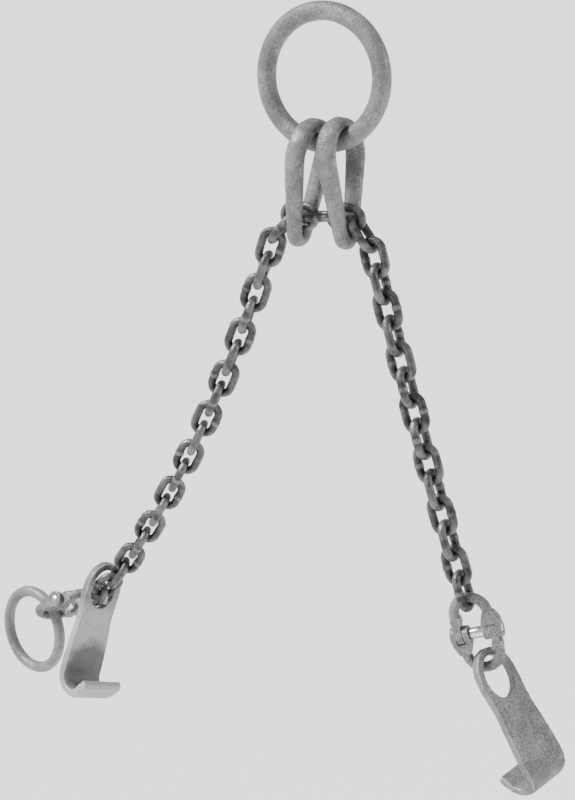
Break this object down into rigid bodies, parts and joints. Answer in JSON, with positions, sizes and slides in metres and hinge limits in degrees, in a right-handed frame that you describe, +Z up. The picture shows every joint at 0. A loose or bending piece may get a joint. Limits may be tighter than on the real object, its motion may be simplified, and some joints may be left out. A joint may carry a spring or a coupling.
{
  "type": "chain sling",
  "caption": "Hanging chain sling: a round master ring, oblong links, short-link chain legs and hinged coupling links that carry flat wide hooks and a ring.",
  "frame": {"origin": "inner top of the master ring's eye, where it hangs on a crane hook", "axes": "+X to the right across the sling, +Y to the back, +Z up"},
  "size_m": [0.6562, 0.0909, 0.7178],
  "materials": {
    "forged_steel": "matte forged steel, finely pitted",
    "chain_steel": "semi-matte dark steel",
    "bright_steel": "bright machined steel"
  },
  "bodies": {
    "master_ring": {"master_ring": "forged_steel"},
    "oblong_left": {"oblong_link_left": "forged_steel"},
    "oblong_right": {"oblong_link_right": "forged_steel"},
    "link_left_01": {"chain_link_left_01": "chain_steel"},
    "link_left_02": {"chain_link_left_02": "chain_steel"},
    "link_left_03": {"chain_link_left_03": "chain_steel"},
    "link_left_04": {"chain_link_left_04": "chain_steel"},
    "link_left_05": {"chain_link_left_05": "chain_steel"},
    "link_left_06": {"chain_link_left_06": "chain_steel"},
    "link_left_07": {"chain_link_left_07": "chain_steel"},
    "link_left_08": {"chain_link_left_08": "chain_steel"},
    "link_left_09": {"chain_link_left_09": "chain_steel"},
    "link_left_10": {"chain_link_left_10": "chain_steel"},
    "link_left_11": {"chain_link_left_11": "chain_steel"},
    "link_left_12": {"chain_link_left_12": "chain_steel"},
    "link_left_13": {"chain_link_left_13": "chain_steel"},
    "link_left_14": {"chain_link_left_14": "chain_steel"},
    "link_left_15": {"chain_link_left_15": "chain_steel"},
    "link_left_16": {"chain_link_left_16": "chain_steel"},
    "link_left_17": {"chain_link_left_17": "chain_steel"},
    "link_left_18": {"chain_link_left_18": "chain_steel"},
    "link_left_19": {"chain_link_left_19": "chain_steel"},
    "link_left_20": {"chain_link_left_20": "chain_steel"},
    "link_left_21": {"chain_link_left_21": "chain_steel"},
    "link_left_22": {"chain_link_left_22": "chain_steel"},
    "link_right_01": {"chain_link_right_01": "chain_steel"},
    "link_right_02": {"chain_link_right_02": "chain_steel"},
    "link_right_03": {"chain_link_right_03": "chain_steel"},
    "link_right_04": {"chain_link_right_04": "chain_steel"},
    "link_right_05": {"chain_link_right_05": "chain_steel"},
    "link_right_06": {"chain_link_right_06": "chain_steel"},
    "link_right_07": {"chain_link_right_07": "chain_steel"},
    "link_right_08": {"chain_link_right_08": "chain_steel"},
    "link_right_09": {"chain_link_right_09": "chain_steel"},
    "link_right_10": {"chain_link_right_10": "chain_steel"},
    "link_right_11": {"chain_link_right_11": "chain_steel"},
    "link_right_12": {"chain_link_right_12": "chain_steel"},
    "link_right_13": {"chain_link_right_13": "chain_steel"},
    "link_right_14": {"chain_link_right_14": "chain_steel"},
    "link_right_15": {"chain_link_right_15": "chain_steel"},
    "link_right_16": {"chain_link_right_16": "chain_steel"},
    "link_bridge": {"chain_link_bridge": "chain_steel"},
    "coupling_left_upper": {"coupling_left_upper_half": "forged_steel", "coupling_left_pin": "bright_steel", "coupling_left_bush": "bright_steel"},
    "coupling_left_lower": {"coupling_left_lower_half": "forged_steel"},
    "coupling_right_upper": {"coupling_right_upper_half": "forged_steel", "coupling_right_pin": "bright_steel", "coupling_right_bush": "bright_steel"},
    "coupling_right_lower": {"coupling_right_lower_half": "forged_steel"},
    "end_ring": {"end_ring": "forged_steel"},
    "hook_right": {"hook_right": "forged_steel"},
    "hook_left": {"hook_left": "forged_steel"}
  },
  "joints": [
    {"name": "oblong_left_swing", "type": "hinge", "parent": "master_ring", "child": "oblong_left", "pos_m": [0, 0, -0.10875], "axis": [1, 0, 0], "range_deg": [-20, 20]},
    {"name": "oblong_right_swing", "type": "hinge", "parent": "master_ring", "child": "oblong_right", "pos_m": [0, 0, -0.10875], "axis": [1, 0, 0], "range_deg": [-20, 20]},
    {"name": "link_left_01_rock", "type": "hinge", "parent": "oblong_left", "child": "link_left_01", "pos_m": [-0.02395, 0, -0.17623], "axis": [0, 1, 0], "range_deg": [-0.9, 0.9]},
    {"name": "link_left_02_swing", "type": "hinge", "parent": "link_left_01", "child": "link_left_02", "pos_m": [-0.03184, 0.00084, -0.17623], "axis": [-0.1013, 0.9911, 0.0863], "range_deg": [-12.5, 30]},
    {"name": "link_left_03_swing", "type": "hinge", "parent": "link_left_02", "child": "link_left_03", "pos_m": [-0.04988, 0.00047, -0.19306], "axis": [-0.9086, -0.2605, 0.3264], "range_deg": [-16, 33]},
    {"name": "link_left_04_swing", "type": "hinge", "parent": "link_left_03", "child": "link_left_04", "pos_m": [-0.05819, 0.00126, -0.21557], "axis": [0.2423, -0.9612, -0.1318], "range_deg": [-35, 35]},
    {"name": "link_left_05_swing", "type": "hinge", "parent": "link_left_04", "child": "link_left_05", "pos_m": [-0.06673, 0.00217, -0.23798], "axis": [0.893, 0.2858, -0.3477], "range_deg": [-35, 35]},
    {"name": "link_left_06_swing", "type": "hinge", "parent": "link_left_05", "child": "link_left_06", "pos_m": [-0.07568, 0.00307, -0.26023], "axis": [-0.2597, 0.9536, 0.1522], "range_deg": [-35, 35]},
    {"name": "link_left_07_swing", "type": "hinge", "parent": "link_left_06", "child": "link_left_07", "pos_m": [-0.08487, 0.00409, -0.28238], "axis": [-0.8758, -0.3101, 0.3699], "range_deg": [-35, 35]},
    {"name": "link_left_08_swing", "type": "hinge", "parent": "link_left_07", "child": "link_left_08", "pos_m": [-0.09449, 0.00508, -0.30434], "axis": [0.2748, -0.9457, -0.1737], "range_deg": [-35, 35]},
    {"name": "link_left_09_swing", "type": "hinge", "parent": "link_left_08", "child": "link_left_09", "pos_m": [-0.10438, 0.00622, -0.32618], "axis": [0.8571, 0.3333, -0.3928], "range_deg": [-35, 35]},
    {"name": "link_left_10_swing", "type": "hinge", "parent": "link_left_09", "child": "link_left_10", "pos_m": [-0.11472, 0.00731, -0.34781], "axis": [-0.2873, 0.9375, 0.1964], "range_deg": [-35, 35]},
    {"name": "link_left_11_swing", "type": "hinge", "parent": "link_left_10", "child": "link_left_11", "pos_m": [-0.12534, 0.00856, -0.3693], "axis": [-0.8369, -0.3552, 0.4165], "range_deg": [-35, 35]},
    {"name": "link_left_12_swing", "type": "hinge", "parent": "link_left_11", "child": "link_left_12", "pos_m": [-0.13642, 0.00975, -0.39056], "axis": [0.2971, -0.9291, -0.2201], "range_deg": [-35, 35]},
    {"name": "link_left_13_swing", "type": "hinge", "parent": "link_left_12", "child": "link_left_13", "pos_m": [-0.1478, 0.01111, -0.41165], "axis": [0.8152, 0.3758, -0.4408], "range_deg": [-35, 35]},
    {"name": "link_left_14_swing", "type": "hinge", "parent": "link_left_13", "child": "link_left_14", "pos_m": [-0.15965, 0.0124, -0.43247], "axis": [-0.3038, 0.9208, 0.2445], "range_deg": [-35, 35]},
    {"name": "link_left_15_swing", "type": "hinge", "parent": "link_left_14", "child": "link_left_15", "pos_m": [-0.17181, 0.01387, -0.45311], "axis": [-0.792, -0.3949, 0.4657], "range_deg": [-35, 35]},
    {"name": "link_left_16_swing", "type": "hinge", "parent": "link_left_15", "child": "link_left_16", "pos_m": [-0.18447, 0.01525, -0.47346], "axis": [0.3072, -0.9127, -0.2695], "range_deg": [-35, 35]},
    {"name": "link_left_17_swing", "type": "hinge", "parent": "link_left_16", "child": "link_left_17", "pos_m": [-0.19744, 0.01683, -0.49359], "axis": [0.7673, 0.4123, -0.4911], "range_deg": [-35, 35]},
    {"name": "link_left_18_swing", "type": "hinge", "parent": "link_left_17", "child": "link_left_18", "pos_m": [-0.21092, 0.01832, -0.5134], "axis": [-0.3072, 0.9048, 0.2948], "range_deg": [-35, 35]},
    {"name": "link_left_19_swing", "type": "hinge", "parent": "link_left_18", "child": "link_left_19", "pos_m": [-0.22472, 0.02001, -0.53296], "axis": [-0.7412, -0.428, 0.5171], "range_deg": [-35, 35]},
    {"name": "link_left_20_swing", "type": "hinge", "parent": "link_left_19", "child": "link_left_20", "pos_m": [-0.23896, 0.02135, -0.55225], "axis": [0.4084, -0.8054, -0.4296], "range_deg": [-27, 35]},
    {"name": "link_left_21_swing", "type": "hinge", "parent": "link_left_20", "child": "link_left_21", "pos_m": [-0.2551, 0.02264, -0.57001], "axis": [0.5661, 0.7597, -0.32], "range_deg": [-0.5, 1.2]},
    {"name": "link_left_22_swing", "type": "hinge", "parent": "link_left_21", "child": "link_left_22", "pos_m": [-0.26982, 0.0251, -0.59023], "axis": [-0.1463, 0.467, 0.8721], "range_deg": [-2.8, 21]},
    {"name": "link_right_01_rock", "type": "hinge", "parent": "oblong_right", "child": "link_right_01", "pos_m": [0.02391, 0, -0.17452], "axis": [0, -1, 0], "range_deg": [-0.9, 0.9]},
    {"name": "link_right_02_swing", "type": "hinge", "parent": "link_right_01", "child": "link_right_02", "pos_m": [0.03171, 0, -0.17534], "axis": [0, 1, 0], "range_deg": [-30, 7]},
    {"name": "link_right_03_swing", "type": "hinge", "parent": "link_right_02", "child": "link_right_03", "pos_m": [0.0487, 0, -0.19315], "axis": [-0.95, 0, -0.3123], "range_deg": [-35, 35]},
    {"name": "link_right_04_swing", "type": "hinge", "parent": "link_right_03", "child": "link_right_04", "pos_m": [0.05618, -0.0013, -0.21591], "axis": [-0.0147, -0.9989, 0.0446], "range_deg": [-35, 35]},
    {"name": "link_right_05_swing", "type": "hinge", "parent": "link_right_04", "child": "link_right_05", "pos_m": [0.06367, -0.00243, -0.23869], "axis": [0.95, 0, 0.3123], "range_deg": [-35, 35]},
    {"name": "link_right_06_swing", "type": "hinge", "parent": "link_right_05", "child": "link_right_06", "pos_m": [0.07116, -0.00347, -0.26147], "axis": [0.0113, 0.9993, -0.0344], "range_deg": [-35, 35]},
    {"name": "link_right_07_swing", "type": "hinge", "parent": "link_right_06", "child": "link_right_07", "pos_m": [0.07865, -0.00434, -0.28425], "axis": [-0.95, 0, -0.3123], "range_deg": [-35, 35]},
    {"name": "link_right_08_swing", "type": "hinge", "parent": "link_right_07", "child": "link_right_08", "pos_m": [0.08614, -0.00513, -0.30704], "axis": [-0.008, -0.9997, 0.0242], "range_deg": [-35, 35]},
    {"name": "link_right_09_swing", "type": "hinge", "parent": "link_right_08", "child": "link_right_09", "pos_m": [0.09363, -0.00574, -0.32983], "axis": [0.95, 0, 0.3123], "range_deg": [-35, 35]},
    {"name": "link_right_10_swing", "type": "hinge", "parent": "link_right_09", "child": "link_right_10", "pos_m": [0.10113, -0.00627, -0.35262], "axis": [0.0046, 0.9999, -0.014], "range_deg": [-35, 35]},
    {"name": "link_right_11_swing", "type": "hinge", "parent": "link_right_10", "child": "link_right_11", "pos_m": [0.10862, -0.00662, -0.37542], "axis": [-0.95, 0, -0.3123], "range_deg": [-35, 35]},
    {"name": "link_right_12_swing", "type": "hinge", "parent": "link_right_11", "child": "link_right_12", "pos_m": [0.11612, -0.00689, -0.39822], "axis": [-0.0013, -1, 0.0038], "range_deg": [-35, 35]},
    {"name": "link_right_13_swing", "type": "hinge", "parent": "link_right_12", "child": "link_right_13", "pos_m": [0.12362, -0.00699, -0.42102], "axis": [0.95, 0, 0.3123], "range_deg": [-35, 35]},
    {"name": "link_right_14_swing", "type": "hinge", "parent": "link_right_13", "child": "link_right_14", "pos_m": [0.13111, -0.007, -0.44382], "axis": [-0.0021, 1, 0.0064], "range_deg": [-35, 35]},
    {"name": "link_right_15_swing", "type": "hinge", "parent": "link_right_14", "child": "link_right_15", "pos_m": [0.13861, -0.00684, -0.46661], "axis": [-0.95, 0, -0.3123], "range_deg": [-35, 35]},
    {"name": "link_right_16_swing", "type": "hinge", "parent": "link_right_15", "child": "link_right_16", "pos_m": [0.1461, -0.00659, -0.48941], "axis": [0.0055, -0.9998, -0.0166], "range_deg": [-35, 35]},
    {"name": "link_bridge_swing", "type": "hinge", "parent": "link_left_01", "child": "link_bridge", "pos_m": [-0.0161, 0, -0.17623], "axis": [0, 1, 0], "range_deg": [-0.4, 0.4]},
    {"name": "coupling_left_swing", "type": "hinge", "parent": "link_left_22", "child": "coupling_left_upper", "pos_m": [-0.28932, 0.03503, -0.59882], "axis": [0.1534, 0.8581, -0.49], "range_deg": [-30, 30]},
    {"name": "coupling_left_pivot", "type": "hinge", "parent": "coupling_left_upper", "child": "coupling_left_lower", "pos_m": [-0.32051, 0.03185, -0.61415], "axis": [-0.1534, -0.8581, 0.49], "range_deg": [-30, 30]},
    {"name": "coupling_right_swing", "type": "hinge", "parent": "link_right_16", "child": "coupling_right_upper", "pos_m": [0.15325, -0.00619, -0.51117], "axis": [0.9252, 0.2201, 0.3091], "range_deg": [-30, 30]},
    {"name": "coupling_right_pivot", "type": "hinge", "parent": "coupling_right_upper", "child": "coupling_right_lower", "pos_m": [0.16305, -0.00094, -0.54425], "axis": [-0.9252, -0.2201, -0.3091], "range_deg": [-30, 30]},
    {"name": "end_ring_swing", "type": "hinge", "parent": "coupling_left_lower", "child": "end_ring", "pos_m": [-0.34396, 0.03173, -0.6217], "axis": [0.732, -0.192, -0.6537], "range_deg": [-35, 35]},
    {"name": "hook_right_swing", "type": "hinge", "parent": "coupling_right_lower", "child": "hook_right", "pos_m": [0.17285, 0.00431, -0.57733], "axis": [-0.9252, -0.2201, -0.3091], "range_deg": [-6, 20]},
    {"name": "hook_left_swing", "type": "hinge", "parent": "link_left_20", "child": "hook_left", "pos_m": [-0.2601, 0.02361, -0.57656], "axis": [0.6545, -0.0698, 0.7529], "range_deg": [-33, 9]}
  ],
  "couplings": [
    {"joint": "oblong_right_swing", "follows": "oblong_left_swing", "ratio": 1}
  ]
}
